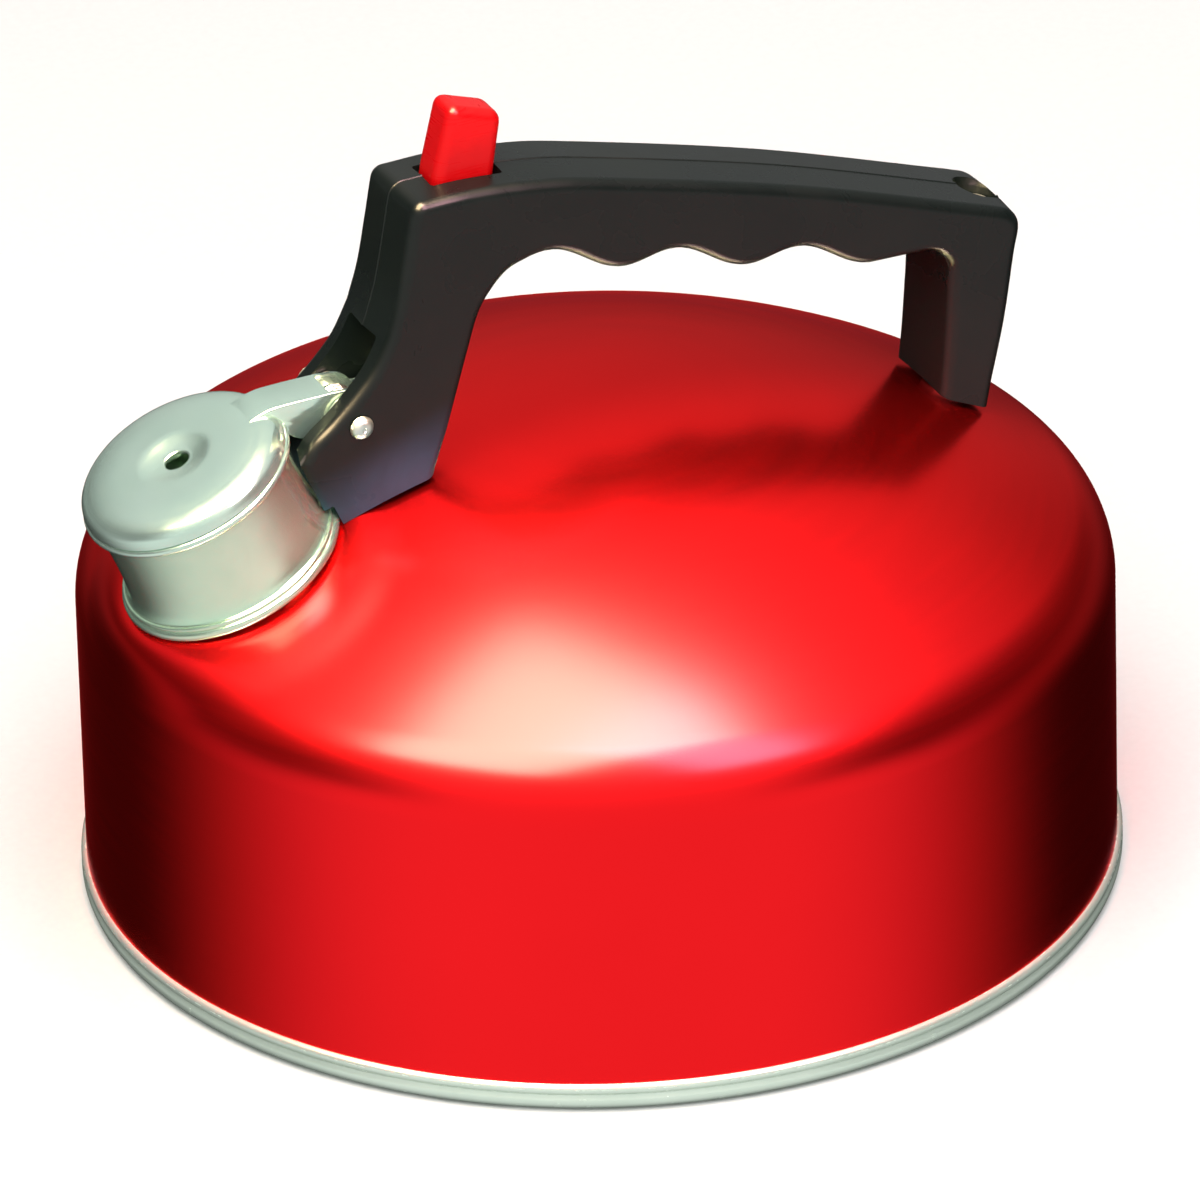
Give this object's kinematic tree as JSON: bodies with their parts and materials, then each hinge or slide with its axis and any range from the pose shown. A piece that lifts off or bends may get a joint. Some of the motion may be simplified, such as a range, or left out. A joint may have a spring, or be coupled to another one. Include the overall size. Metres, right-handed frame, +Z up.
{
  "type": "stovetop whistling kettle",
  "caption": "Round stovetop kettle with a domed lacquered body, a side spout under a hinged whistle cap, and a moulded handle whose push button lifts the cap.",
  "frame": {"origin": "centre of the flat base on the surface it stands on", "axes": "+Z up, the spout points to -X and the handle runs along X"},
  "size_m": [0.2033, 0.2, 0.1679],
  "materials": {
    "red_lacquer": "glossy red lacquer over sheet metal",
    "polished_steel": "polished",
    "zinc_plated_steel": "zinc plated",
    "spring_steel": "drawn wire",
    "black_moulding": "glossy moulded",
    "red_moulding": "glossy moulded"
  },
  "bodies": {
    "kettle": {"body_shell": "red_lacquer", "base_pan": "polished_steel", "spout": "polished_steel", "handle": "black_moulding", "front_bracket": "zinc_plated_steel", "bracket_rivet_front": "zinc_plated_steel", "bracket_rivet_rear": "zinc_plated_steel", "pivot_rivet": "zinc_plated_steel", "pivot_washer": "zinc_plated_steel", "pivot_bush": "zinc_plated_steel", "cap_spring": "spring_steel", "rear_boss": "zinc_plated_steel", "rear_screw": "zinc_plated_steel", "rear_washer": "zinc_plated_steel"},
    "cap": {"whistle_cap": "polished_steel", "whistle_plate": "polished_steel"},
    "trigger": {"trigger_button": "red_moulding", "push_rod": "zinc_plated_steel"}
  },
  "joints": [
    {"name": "cap_hinge", "type": "hinge", "parent": "kettle", "child": "cap", "pos_m": [-0.0523, 0, 0.1095], "axis": [0, 1, 0], "range_deg": [0, 32], "stiffness_Nm_per_rad": 0.15, "springref_deg": -34.38, "deforming": ["cap_spring"]},
    {"name": "button_slide", "type": "slide", "parent": "kettle", "child": "trigger", "axis": [-0.1736, 0, -0.9848], "range_m": [0, 0.0072]}
  ],
  "couplings": [
    {"joint": "button_slide", "follows": "cap_hinge", "m_per_rad": 0.012831}
  ]
}
